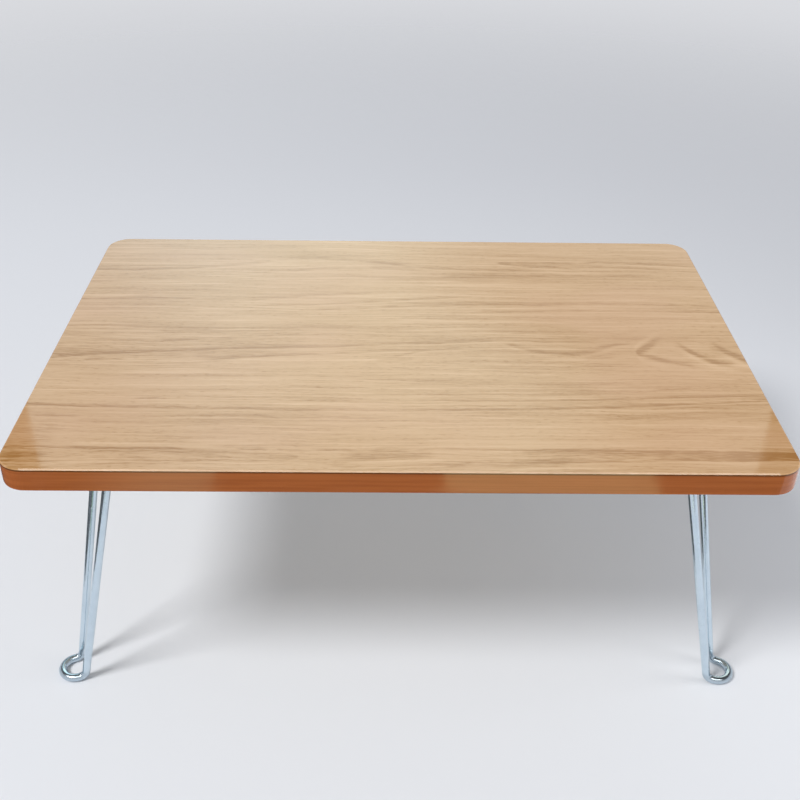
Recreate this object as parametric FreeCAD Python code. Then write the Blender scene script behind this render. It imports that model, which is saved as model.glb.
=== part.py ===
import FreeCAD, Part
import math
import os

# Low folding desk: a laminated board on four hairpin wire legs.
# Millimetres. Origin on the floor under the middle of the top, +X along the long side, +Y to the back.

# Desktop
TOP_WIDTH = 600.0
TOP_DEPTH = 400.0
DESK_HEIGHT = 260.0
CORE_THICKNESS = 17.4
CORNER_RADIUS = 21.0
TOP_SHEET = 1.8
UNDER_SHEET = 0.8
BAND_THICKNESS = 2.0
TOP_EDGE_BEVEL = 1.0
BAND_LOWER_ROUND = 0.8

# Hinge places: the middle of each hinge line, and how far it is turned from square
HINGE_FROM_END = 63.0
HINGE_FROM_FRONT = 64.0
HINGE_TURN_DEGREES = 21.0
PIVOT_DROP = 9.0

# Wire legs
WIRE_DIAMETER = 7.0
LEG_LEAN_DEGREES = 12.0
ROD_SPREAD_TOP = 60.0
FOOT_SPREAD = 24.0
FOOT_STRAIGHT = 1.0
ANKLE_RADIUS = 6.5
ELBOW_RADIUS = 9.0

# Hinge brackets
PLATE = 1.6
PLATE_DEPTH = 30.0
PLATE_CORNER_RADIUS = 6.0
EAR_RADIUS = 8.0
EAR_GAP = 0.4
LIP_REACH = 12.0
LIP_RELIEF = 3.0
STOP_GAP = 0.1
PIVOT_CLEARANCE = 0.08
BEND_ROUND_SHARE = 0.6

# Screws, with their places as shares of the plate's depth and half length
SCREW_LENGTH = 13.0
SCREW_RADIUS = 1.6
SCREW_TIP = 3.0
HEAD_RADIUS = 3.4
HEAD_HEIGHT = 2.2
HEAD_RIM = 0.5
RECESS_SPAN = 3.6
RECESS_WIDTH = 0.9
RECESS_DEPTH = 1.2
SCREW_HOLE_CLEARANCE = 0.2
SCREW_PILOT_CLEARANCE = 0.05
SCREW_ROW_SHARES = (0.25, 0.75)
SCREW_COLUMN_SHARES = (-0.45, 0.45)

# Push-on caps on the pivot stubs
CAP_DEPTH = 4.0
CAP_WALL = 1.4
CAP_GAP = 0.3
CAP_CLEARANCE = 0.02
CAP_ROUND_SHARE = 0.7

# One length that takes every cut past the face it opens
CUT_OVERRUN = 1.0
LEAST_RUN = 1e-6

WIRE_RADIUS = WIRE_DIAMETER / 2
LEAN = math.radians(LEG_LEAN_DEGREES)
CORE_TOP = DESK_HEIGHT - TOP_SHEET
CORE_BOTTOM = CORE_TOP - CORE_THICKNESS
UNDERSIDE = CORE_BOTTOM - UNDER_SHEET
LEG_LENGTH = (UNDERSIDE - PIVOT_DROP - WIRE_RADIUS) / math.cos(LEAN)

# The elbow turns a rod into its pivot stub, and ends this far along the hinge line
ROD_TAPER = math.atan((ROD_SPREAD_TOP - FOOT_SPREAD) / 2 / LEG_LENGTH)
ELBOW_END = ROD_SPREAD_TOP / 2 + ELBOW_RADIUS * math.tan((math.pi / 2 - ROD_TAPER) / 2)
EAR_INNER = ELBOW_END + EAR_GAP
EAR_OUTER = EAR_INNER + PLATE
CAP_START = EAR_OUTER + CAP_GAP
STUB_END = CAP_START + CAP_DEPTH

# Each corner: its name, its side along X and along Y
CORNERS = (
    ("front_left", -1, -1),
    ("front_right", 1, -1),
    ("rear_left", -1, 1),
    ("rear_right", 1, 1),
)


def vector(x, y, z=0.0):
    return FreeCAD.Vector(x, y, z)


def rounded_path(points, radii, closed=False):
    """Straight runs through the points, with a tangent arc of its own radius at each corner."""
    count = len(points)
    corners = range(count) if closed else range(1, count - 1)
    ends = {} if closed else {0: (points[0], points[0]), count - 1: (points[-1], points[-1])}
    arcs = {}
    for index in corners:
        corner = points[index]
        before = (corner - points[index - 1]).normalize()
        after = (points[(index + 1) % count] - corner).normalize()
        half_turn = before.getAngle(after) / 2
        tangent = radii[index] * math.tan(half_turn)
        start = corner - before * tangent
        end = corner + after * tangent
        ends[index] = (start, end)
        if radii[index] > 0:
            inward = (after - before).normalize()
            middle = corner + inward * (radii[index] / math.cos(half_turn) - radii[index])
            arcs[index] = Part.Arc(start, middle, end).toShape()
    edges = []
    for index in range(count):
        if index in arcs:
            edges.append(arcs[index])
        following = (index + 1) % count
        if following == 0 and not closed:
            break
        leaving = ends[index][1]
        arriving = ends[following][0]
        if leaving.distanceToPoint(arriving) > LEAST_RUN:
            edges.append(Part.LineSegment(leaving, arriving).toShape())
    return Part.Wire(edges)


def prism(points, radii, rise):
    """A flat outline with rounded corners, raised along a vector."""
    return Part.Face(rounded_path(points, radii, closed=True)).extrude(rise)


def board_prism(inset, bottom, top):
    """The desktop's outline, drawn in by an inset, between two heights."""
    x = TOP_WIDTH / 2 - inset
    y = TOP_DEPTH / 2 - inset
    outline = [vector(-x, -y, bottom), vector(x, -y, bottom), vector(x, y, bottom), vector(-x, y, bottom)]
    radii = [CORNER_RADIUS - inset] * len(outline)
    return prism(outline, radii, vector(0, 0, top - bottom))


def edges_at_height(shape, height):
    """The edges that lie flat at one height."""
    flat = []
    for edge in shape.Edges:
        box = edge.BoundBox
        if abs(box.ZMin - height) < LEAST_RUN and abs(box.ZMax - height) < LEAST_RUN:
            flat.append(edge)
    return flat


def to_corner(shape, side_x, side_y):
    """Carry a shape from the hinge's own frame (x outwards, y along the hinge line, z = 0 at the
    underside) to one corner of the desk."""
    outward = math.degrees(math.atan2(0, side_x)) + HINGE_TURN_DEGREES * side_x * side_y
    place = vector(
        side_x * (TOP_WIDTH / 2 - HINGE_FROM_END),
        side_y * (TOP_DEPTH / 2 - HINGE_FROM_FRONT),
        UNDERSIDE,
    )
    turned = shape.copy()
    turned.Placement = FreeCAD.Placement(place, FreeCAD.Rotation(vector(0, 0, 1), outward))
    return turned


def wire_leg():
    """The hairpin: stub, rod, foot loop, rod, stub, as one bent wire."""
    rod_top = ROD_SPREAD_TOP / 2
    foot_half = FOOT_SPREAD / 2
    ankle_x = LEG_LENGTH * math.sin(LEAN)
    floor_z = WIRE_RADIUS - UNDERSIDE
    rod = vector(ankle_x, foot_half, floor_z) - vector(0, rod_top, -PIVOT_DROP)
    ankle_tangent = ANKLE_RADIUS * math.tan(rod.getAngle(vector(1, 0)) / 2)
    toe_x = ankle_x + ankle_tangent + FOOT_STRAIGHT + foot_half
    half = [
        vector(0, STUB_END, -PIVOT_DROP),
        vector(0, rod_top, -PIVOT_DROP),
        vector(ankle_x, foot_half, floor_z),
        vector(toe_x, foot_half, floor_z),
    ]
    mirrored = [vector(point.x, -point.y, point.z) for point in reversed(half)]
    half_radii = [0, ELBOW_RADIUS, ANKLE_RADIUS, foot_half]
    path = rounded_path(half + mirrored, half_radii + half_radii[::-1])
    section = Part.Wire(Part.Circle(half[0], vector(0, 1), WIRE_RADIUS).toShape())
    leg = path.makePipeShell([section], True, False)
    swept = math.pi * WIRE_RADIUS ** 2 * path.Length
    print("wire length %.1f, volume against section times length %.5f" % (path.Length, leg.Volume / swept))
    return leg


def lip_point(offset, along):
    """A point in the lip: its distance out from the open leg's plane, and down along the leg."""
    x = offset * math.cos(LEAN) + along * math.sin(LEAN)
    z = offset * math.sin(LEAN) - along * math.cos(LEAN) - PIVOT_DROP
    return vector(x, 0, z)


def lip_start(offset):
    """Where the lip's face at that offset meets the underside, along the leg."""
    return (offset * math.sin(LEAN) - PIVOT_DROP) / math.cos(LEAN)


def screw_places():
    """The four screw centres on the base plate, in the hinge's own frame."""
    return [
        vector(-PLATE_DEPTH * row, EAR_INNER * column)
        for row in SCREW_ROW_SHARES
        for column in SCREW_COLUMN_SHARES
    ]


def bracket():
    """Base plate, two ears with the pivot holes, and the sloping lip that the open leg leans on."""
    lip_inner = WIRE_RADIUS + STOP_GAP
    lip_outer = lip_inner + PLATE
    lip_half = EAR_INNER - LIP_RELIEF
    lip_edge = lip_point(lip_outer, lip_start(lip_outer)).x
    outline = [
        vector(-PLATE_DEPTH, -EAR_OUTER),
        vector(EAR_RADIUS, -EAR_OUTER),
        vector(EAR_RADIUS, -lip_half),
        vector(lip_edge, -lip_half),
        vector(lip_edge, lip_half),
        vector(EAR_RADIUS, lip_half),
        vector(EAR_RADIUS, EAR_OUTER),
        vector(-PLATE_DEPTH, EAR_OUTER),
    ]
    radii = [PLATE_CORNER_RADIUS] + [0] * (len(outline) - 2) + [PLATE_CORNER_RADIUS]
    body = prism(outline, radii, vector(0, 0, -PLATE))

    lip = [
        lip_point(lip_inner, lip_start(lip_inner)),
        lip_point(lip_inner, LIP_REACH),
        lip_point(lip_outer, LIP_REACH),
        lip_point(lip_outer, lip_start(lip_outer)),
    ]
    lip = [point + vector(0, -lip_half) for point in lip]
    body = body.fuse(prism(lip, [0] * len(lip), vector(0, 2 * lip_half)))

    ear = [
        vector(-EAR_RADIUS, EAR_INNER),
        vector(-EAR_RADIUS, EAR_INNER, -PIVOT_DROP - EAR_RADIUS),
        vector(EAR_RADIUS, EAR_INNER, -PIVOT_DROP - EAR_RADIUS),
        vector(EAR_RADIUS, EAR_INNER),
    ]
    ear = prism(ear, [0, EAR_RADIUS, EAR_RADIUS, 0], vector(0, PLATE))
    body = body.fuse([ear, ear.mirror(vector(0, 0), vector(0, 1))]).removeSplitter()

    bends = [edge for edge in edges_at_height(body, 0.0) if is_bend(edge, lip_edge)]
    body = body.makeFillet(PLATE * BEND_ROUND_SHARE, bends)

    span = 2 * (EAR_OUTER + CUT_OVERRUN)
    pivot_hole = Part.makeCylinder(
        WIRE_RADIUS + PIVOT_CLEARANCE, span, vector(0, -span / 2, -PIVOT_DROP), vector(0, 1)
    )
    screw_holes = [
        Part.makeCylinder(SCREW_RADIUS + SCREW_HOLE_CLEARANCE, PLATE, place - vector(0, 0, PLATE))
        for place in screw_places()
    ]
    return body.cut([pivot_hole] + screw_holes)


def is_bend(edge, lip_edge):
    """True for the outer edge of a bend: along the lip, or along the foot of an ear."""
    box = edge.BoundBox
    along_lip = abs(box.XMin - lip_edge) < LEAST_RUN and abs(box.XMax - lip_edge) < LEAST_RUN
    along_ear = abs(abs(box.YMin) - EAR_OUTER) < LEAST_RUN and box.YLength < LEAST_RUN
    return along_lip or along_ear


def screw():
    """Pan head screw, pointing up into the board, with a cross recess in its head."""
    seat = -PLATE
    rim = seat - HEAD_RIM
    crown = seat - HEAD_HEIGHT
    tip = seat + SCREW_LENGTH
    sphere_radius = (HEAD_RADIUS ** 2 + (rim - crown) ** 2) / (2 * (rim - crown))
    bulge_angle = math.asin(HEAD_RADIUS / sphere_radius) / 2
    bulge = vector(
        sphere_radius * math.sin(bulge_angle), 0, crown + sphere_radius * (1 - math.cos(bulge_angle))
    )
    outline = [
        vector(HEAD_RADIUS, 0, rim),
        vector(HEAD_RADIUS, 0, seat),
        vector(SCREW_RADIUS, 0, seat),
        vector(SCREW_RADIUS, 0, tip - SCREW_TIP),
        vector(0, 0, tip),
        vector(0, 0, crown),
    ]
    edges = [Part.LineSegment(a, b).toShape() for a, b in zip(outline, outline[1:])]
    edges.append(Part.Arc(outline[-1], bulge, outline[0]).toShape())
    body = Part.Face(Part.Wire(edges)).revolve(vector(0, 0), vector(0, 0, 1), 360)
    slot = Part.makeBox(
        RECESS_SPAN, RECESS_WIDTH, RECESS_DEPTH + CUT_OVERRUN,
        vector(-RECESS_SPAN / 2, -RECESS_WIDTH / 2, crown - CUT_OVERRUN),
    )
    cross_slot = slot.copy()
    cross_slot.rotate(vector(0, 0), vector(0, 0, 1), 90)
    return body.cut(slot.fuse(cross_slot))


def screw_set():
    solids = []
    for place in screw_places():
        placed = screw()
        placed.translate(place)
        solids.append(placed)
    return Part.makeCompound(solids)


def pivot_caps():
    """Two round caps pushed onto the stub ends, outside the ears."""
    outer = WIRE_RADIUS + CAP_CLEARANCE + CAP_WALL
    cap = Part.makeCylinder(outer, CAP_DEPTH + CAP_WALL, vector(0, CAP_START, -PIVOT_DROP), vector(0, 1))
    crown = [edge for edge in cap.Edges if edge.BoundBox.YMin > CAP_START + CAP_DEPTH]
    cap = cap.makeFillet(CAP_WALL * CAP_ROUND_SHARE, crown)
    bore = Part.makeCylinder(
        WIRE_RADIUS + CAP_CLEARANCE, CAP_DEPTH, vector(0, CAP_START, -PIVOT_DROP), vector(0, 1)
    )
    cap = cap.cut(bore)
    return Part.makeCompound([cap, cap.mirror(vector(0, 0), vector(0, 1))])


def pilot_holes():
    """Every screw's hole in the board and its underside sheet."""
    radius = SCREW_RADIUS + SCREW_PILOT_CLEARANCE
    depth = SCREW_LENGTH - PLATE + SCREW_PILOT_CLEARANCE
    holes = []
    for _, side_x, side_y in CORNERS:
        for place in screw_places():
            hole = Part.makeCylinder(radius, depth + CUT_OVERRUN, place - vector(0, 0, CUT_OVERRUN))
            holes.append(to_corner(Part.makeCompound([hole]), side_x, side_y))
    return holes


def core_board():
    return board_prism(BAND_THICKNESS, CORE_BOTTOM, CORE_TOP).cut(pilot_holes())


def underside_sheet():
    return board_prism(BAND_THICKNESS, UNDERSIDE, CORE_BOTTOM).cut(pilot_holes())


def top_sheet():
    sheet = board_prism(0, CORE_TOP, DESK_HEIGHT)
    return sheet.makeChamfer(TOP_EDGE_BEVEL, edges_at_height(sheet, DESK_HEIGHT))


def edge_band():
    outside = board_prism(0, UNDERSIDE, CORE_TOP)
    outside = outside.makeFillet(BAND_LOWER_ROUND, edges_at_height(outside, UNDERSIDE))
    return outside.cut(board_prism(BAND_THICKNESS, UNDERSIDE, CORE_TOP))


def export(name, shape):
    if not shape.isValid():
        raise ValueError(name + " is not a valid shape")
    shape.exportStep(os.path.join("parts", name + ".step"))


os.makedirs("parts", exist_ok=True)
export("core_board", core_board())
export("underside_sheet", underside_sheet())
export("top_sheet", top_sheet())
export("edge_band", edge_band())

hinge_pieces = {
    "leg": wire_leg(),
    "bracket": bracket(),
    "screws": screw_set(),
    "pivot_caps": pivot_caps(),
}
for corner, side_x, side_y in CORNERS:
    for piece, shape in hinge_pieces.items():
        export(corner + "_" + piece, to_corner(shape, side_x, side_y))
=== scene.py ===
import math

import bmesh
import bpy
from mathutils import Matrix, Vector


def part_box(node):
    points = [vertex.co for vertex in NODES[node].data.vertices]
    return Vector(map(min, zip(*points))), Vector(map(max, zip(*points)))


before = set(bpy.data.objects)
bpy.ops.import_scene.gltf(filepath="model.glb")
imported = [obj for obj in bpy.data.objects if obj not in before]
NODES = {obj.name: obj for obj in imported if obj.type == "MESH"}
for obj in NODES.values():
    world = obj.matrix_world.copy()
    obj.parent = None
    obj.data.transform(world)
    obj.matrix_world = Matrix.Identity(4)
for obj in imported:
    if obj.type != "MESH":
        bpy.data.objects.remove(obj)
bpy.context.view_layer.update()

CORNERS = ("front_left", "front_right", "rear_left", "rear_right")
MILLIMETRE = 0.001
NOISE_MIDDLE = 0.5

# Camera, as measured from the photograph's edges and feet (metres, degrees, pixels)
PHOTO_PIXELS = 800
FOCAL_PIXELS = 1050
SENSOR_MM = 36
CAMERA_PLACE = (-0.011, -0.814, 0.727)
CAMERA_PITCH = 33.34
CAMERA_YAW = 0.85
CAMERA_ROLL = 0.88

# Light: one soft lamp from the upper front left, a weak one from the right, an even pale room
KEY_DIRECTION = (-0.475, -0.36, 0.80)
KEY_DISTANCE = 5.0
KEY_AIM = (0, 0, 0)
KEY_WATTS = 155
KEY_WIDTH = 1.5
FILL_PLACE = (0.95, -0.20, 0.35)
FILL_AIM = (0.0, 0.0, 0.34)
FILL_WATTS = 1.3
FILL_WIDTH = 0.45
FILL_SPREAD = 120
ROOM_LIGHT = (0.42, 0.43, 0.455)
ROOM_SEEN = (0.70, 0.71, 0.74)

# Floor: a pale disc with painted shade, a little darker towards the back right where less light falls, that
# fades out into the room
FLOOR_COLOUR = (0.775, 0.79, 0.82)
FLOOR_BACK_SHADE = (0.725, 0.735, 0.765)
FLOOR_SHADE_REACH = 2.6
FLOOR_SHADE_LEAN = 0.7
FLOOR_CLOUD_CELLS = (1.5, 1.5, 1.5)
FLOOR_CLOUD_RISE = (0.3, 0.7)
FLOOR_CLOUD_SHARE = 0.04
FLOOR_ROUGHNESS = 0.85
FLOOR_SPECULAR = 0.15
FLOOR_RADIUS = 2.9
FLOOR_FADE_FROM = 0.9
FLOOR_SIDES = 96

# Boards round the set, seen only in glossy surfaces.
# Each has its span in x, then the y and z of its first long edge and of its second one.
BACK_BOARD = ((-0.797, 0.838), (1.1, 0.40), (1.1, 1.7))
SOFT_BOARD = ((-1.4, 1.4), (-1.73, 1.86), (-1.33, 2.16))
PALE_STRIP = ((0.055, 0.294), (-0.62, 0.002), (-0.45, 0.002))
DIM_STRIP = ((-0.38, -0.205), (-0.62, 0.002), (-0.45, 0.002))
FRONT_FLAG = ((-0.8, 0.8), (-0.85, 0.001), (-0.44, 0.001))
LEFT_FLAG = ((-0.80, -0.46), (-0.44, 0.001), (0.12, 0.001))
UNDER_FLAG = ((0.03, 0.15), (-0.22, 0.001), (0.2, 0.001))
OVERHEAD_FLAG = ((-4.0, 4.0), (-4.0, 2.4), (4.0, 2.4))

# How the boards glow, and how the back board's glow and tint change across it
BACK_LEFT_TINT = (0.74, 0.97, 1.0)
BACK_RIGHT_TINT = (0.86, 1.0, 0.90)
BACK_FAR_TINT = (0.95, 1.0, 0.89)
BACK_RIGHT_TINT_X = (-0.55, 0.0)
BACK_FAR_TINT_X = (0.04, 0.42)
BACK_HEIGHTS = (0.60, 1.25)
BACK_HEIGHT_GLOW = (2.55, 2.45)
BACK_SLANT_HEIGHTS = (0.70, 1.08)
BACK_SLANT = (-0.12, 0.24)
BACK_RIGHT_X = (0.0, 0.40)
BACK_RIGHT_SHARE = 0.57
BACK_LEFT_X = (-0.28, -0.70)
BACK_LEFT_SHARE = 0.62
SWELL_SHARE = 0.14
SWELL_WIDTH = 0.20
SWELL_HEIGHT = 0.10
SWELL_MIDDLE_Z = 1.04
SOFT_COLOUR = (1.0, 0.97, 0.93)
SOFT_GLOW = 5.5
PALE_COLOUR = (1.0, 1.03, 0.55)
PALE_GLOW = 1.7
DIM_COLOUR = (0.95, 1.20, 0.80)
DIM_GLOW = 1.0
DIM_FADE_X = (-0.38, -0.25)
FLAG_COLOUR = (1.0, 1.0, 1.0)
FLAG_GLOW = 0.10

# Colours as linear light
OAK_LINE = (0.355, 0.163, 0.042)
OAK_DEEP = (0.464, 0.250, 0.097)
OAK_MIDDLE = (0.554, 0.325, 0.151)
OAK_PALE = (0.616, 0.379, 0.194)
OAK_PALEST = (0.668, 0.424, 0.230)
OAK_PINK = (0.598, 0.341, 0.190)
OAK_CORE = (0.150, 0.060, 0.020)
BAND_BROWN = (0.430, 0.127, 0.033)
BAND_DEEP = (0.362, 0.100, 0.025)
SEAM_BROWN = (0.130, 0.040, 0.010)
FIBRE_PALE = (0.42, 0.285, 0.165)
FIBRE_DARK = (0.27, 0.165, 0.085)
PAPER_PALE = (0.66, 0.58, 0.46)
PAPER_FLECK = (0.56, 0.47, 0.35)
CHROME_BRIGHT = (0.67, 0.78, 0.86)
CHROME_DULL = (0.56, 0.67, 0.76)
CHROME_FOOT_SHADE = (0.40, 0.47, 0.53)
ZINC_BRIGHT = (0.68, 0.70, 0.71)
ZINC_DULL = (0.52, 0.54, 0.56)
NYLON_BLACK = (0.018, 0.018, 0.020)
NYLON_GREY = (0.040, 0.040, 0.043)

# Below, CELLS are a noise's cells per metre along X, Y and Z. RISE is where a mask starts and is full.
# ROUGHNESS is the smoothest and the roughest value. RELIEF is a bump's strength and its depth in metres.

# Wood fibres
STREAK_CELLS = (16, 260, 260)
THREAD_CELLS = (10, 410, 410)
THREAD_RISE = (0.56, 0.70)
GLEAM_RISE = (0.44, 0.30)
DASH_CELLS = (68, 620, 620)
FIBRE_CELLS = (150, 1450, 1450)
PORE_CELLS = (170, 950, 950)
PORE_RISE = (0.56, 0.70)
PORE_RING_RISE = (0.64, 0.40)
PORE_RING_SHARE = (0.25, 1.0)

# Marks of use, and plating
SMUDGE_CELLS = (22, 26, 24)
SMUDGE_RISE = (0.42, 0.68)
SCRATCH_CELLS = (900, 60, 240)
SCRATCH_RISE = (0.66, 0.74)
DRAWN_CELLS = (1500, 1500, 16)
DRAWN_RISE = (0.3, 0.7)
MOTTLE_CELLS = (90, 90, 60)
MOTTLE_RISE = (0.35, 0.68)
SPOT_CELLS = (420, 420, 420)
SPOT_RISE = (0.66, 0.76)

# The oak print: how it wavers, how much each layer moves its tone, and its colours along the tone
SLOW_WAVER_CELLS = (7, 16, 16)
SLOW_WAVER = 0.010
QUICK_WAVER_CELLS = (40, 130, 130)
QUICK_WAVER = 0.0014
BROAD_CELLS = (2.4, 36, 36)
BROAD_SHARE = 0.45
BANDING_CELLS = (3.0, 100, 100)
BANDING_SHARE = 0.42
STREAK_SHARE = 0.45
DASH_SHARE = 0.34
FIBRE_SHARE = 0.25
FIGURE_SHARE = 0.40
FIGURE_CAP = 1.55
FIGURE_BREAK_RISE = (0.62, 0.36)
FIGURE_BREAK_SHARE = (0.65, 1.10)
THREAD_SHARE = 0.14
GLEAM_SHARE = 0.30
PORE_SHARE = 0.17
TONE_MIDDLE = 0.54
OAK_SHADES = ((0.0, OAK_LINE), (0.30, OAK_DEEP), (0.52, OAK_MIDDLE), (0.76, OAK_PALE), (1.0, OAK_PALEST))
PINK_CELLS = (7, 11, 11)
PINK_RISE = (0.45, 0.72)
PINK_SHARE = 0.35

# The top sheet: the height of its bare brown side, its gloss and its relief
SHEET_SIDE = 0.0008
SHEET_SIDE_BLUR = 0.0001
SHEET_ROUGHNESS = (0.045, 0.075)
SHEET_PORE_DULLING = 0.03
SHEET_PORE_HEIGHT = -0.6
SHEET_RELIEF = (0.03, 0.0001)
SHEET_IOR = 1.5

# The edge band: printed streaks, the butt seam at the back, painted shade along the lower edge in smudgy
# patches, and the glue line above, which is partly painted groove shade
BAND_STREAK_CELLS = (9, 9, 420)
BAND_STREAK_RISE = (0.35, 0.70)
BAND_FLECK_CELLS = (60, 60, 900)
BAND_FLECK_RISE = (0.58, 0.74)
BAND_FLECK_SHARE = 0.35
SEAM_X = 0.118
SEAM_RISE = (0.00035, 0.00015)
SEAM_BEHIND = 0.003
SEAM_HEIGHT = -1.0
LOWER_SHADE_START = 0.0016
LOWER_SHADE_FULL = 0.0002
LOWER_SHADE_SHARE = 0.35
GLUE_LINE_SHADE_START = 0.0009
GLUE_LINE_SHADE_FULL = 0.0004
GLUE_LINE_SHADE_SHARE = 0.75
BAND_MARK_SCALE = 1.6
BAND_ROUGHNESS = (0.09, 0.15)
BAND_SCRATCH_DULLING = 0.08
RIPPLE_CELLS = (45, 45, 90)
RIPPLE_HEIGHT = 0.3
BAND_RELIEF = (0.12, 0.0006)

# The core board
CORE_FIBRE_LENGTH = 0.1
CORE_FIBRE_FINENESS = 0.8
CORE_PORE_SHARE = 0.5
FLUFF_CELLS = (1400, 1400, 2400)
FLUFF_RISE = (0.35, 0.66)
FLUFF_ROUGHNESS_RISE = (0.3, 0.7)
CORE_ROUGHNESS = (0.80, 0.95)
CORE_RELIEF = (0.5, 0.0003)

# The balancing sheet
PAPER_FIBRE_LENGTH = 0.25
PAPER_FIBRE_FINENESS = 0.7
PAPER_PORE_SHARE = 0.45
PAPER_CLOUD_CELLS = (24, 24, 24)
PAPER_CLOUD_RISE = (0.3, 0.75)
PAPER_CLOUD_SHARE = 0.45
PAPER_MARK_SCALE = 0.5
PAPER_SCRATCH_SHARE = 0.25
PAPER_ROUGHNESS = (0.50, 0.64)
PAPER_RELIEF = (0.12, 0.0002)

# Plated steel: what all of it shares, then roughness, line relief and pattern scale of each kind
MOTTLE_SHARE = 0.55
SPOT_SHARE = 0.4
SPOT_DULLING = 0.10
STEEL_MARK_SCALE = 3.0
STEEL_SMUDGE_DULLING = 0.05
STEEL_SCRATCH_HEIGHT = -0.4
LEG_ROUGHNESS = (0.13, 0.20)
LEG_RELIEF = (0.05, 0.0001)
LEG_PATTERN_SCALE = 1.0
BRACKET_ROUGHNESS = (0.26, 0.38)
BRACKET_RELIEF = (0.12, 0.0001)
BRACKET_PATTERN_SCALE = 0.8
SCREW_ROUGHNESS = (0.20, 0.32)
SCREW_RELIEF = (0.10, 0.0001)
SCREW_PATTERN_SCALE = 2.0
# The foot: painted shade and a duller finish near the floor
FOOT_HEIGHT = 0.014
FOOT_SHADE_AND_WEAR = 0.55
FOOT_DULLING = 0.08

# The pivot caps
SKIN_CELLS = (2600, 2600, 2600)
SKIN_RISE = (0.3, 0.7)
CAP_MARK_SCALE = 6.0
CAP_SMUDGE_SHARE = 0.7
CAP_ROUGHNESS = (0.38, 0.52)
CAP_RELIEF = (0.15, 0.0001)

# Growth lines: the pale edge beside a line, and how lines and tongues run out
PALE_EDGE = 0.45
PALE_EDGE_STEP = 2.0
LINE_END_SHARE = 0.10
LINE_END_LENGTH = 0.007
TONGUE_TIP_RISE = (-0.002, 0.001)
TONGUE_REACH_RISE = (1.0, 0.45)

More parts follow.
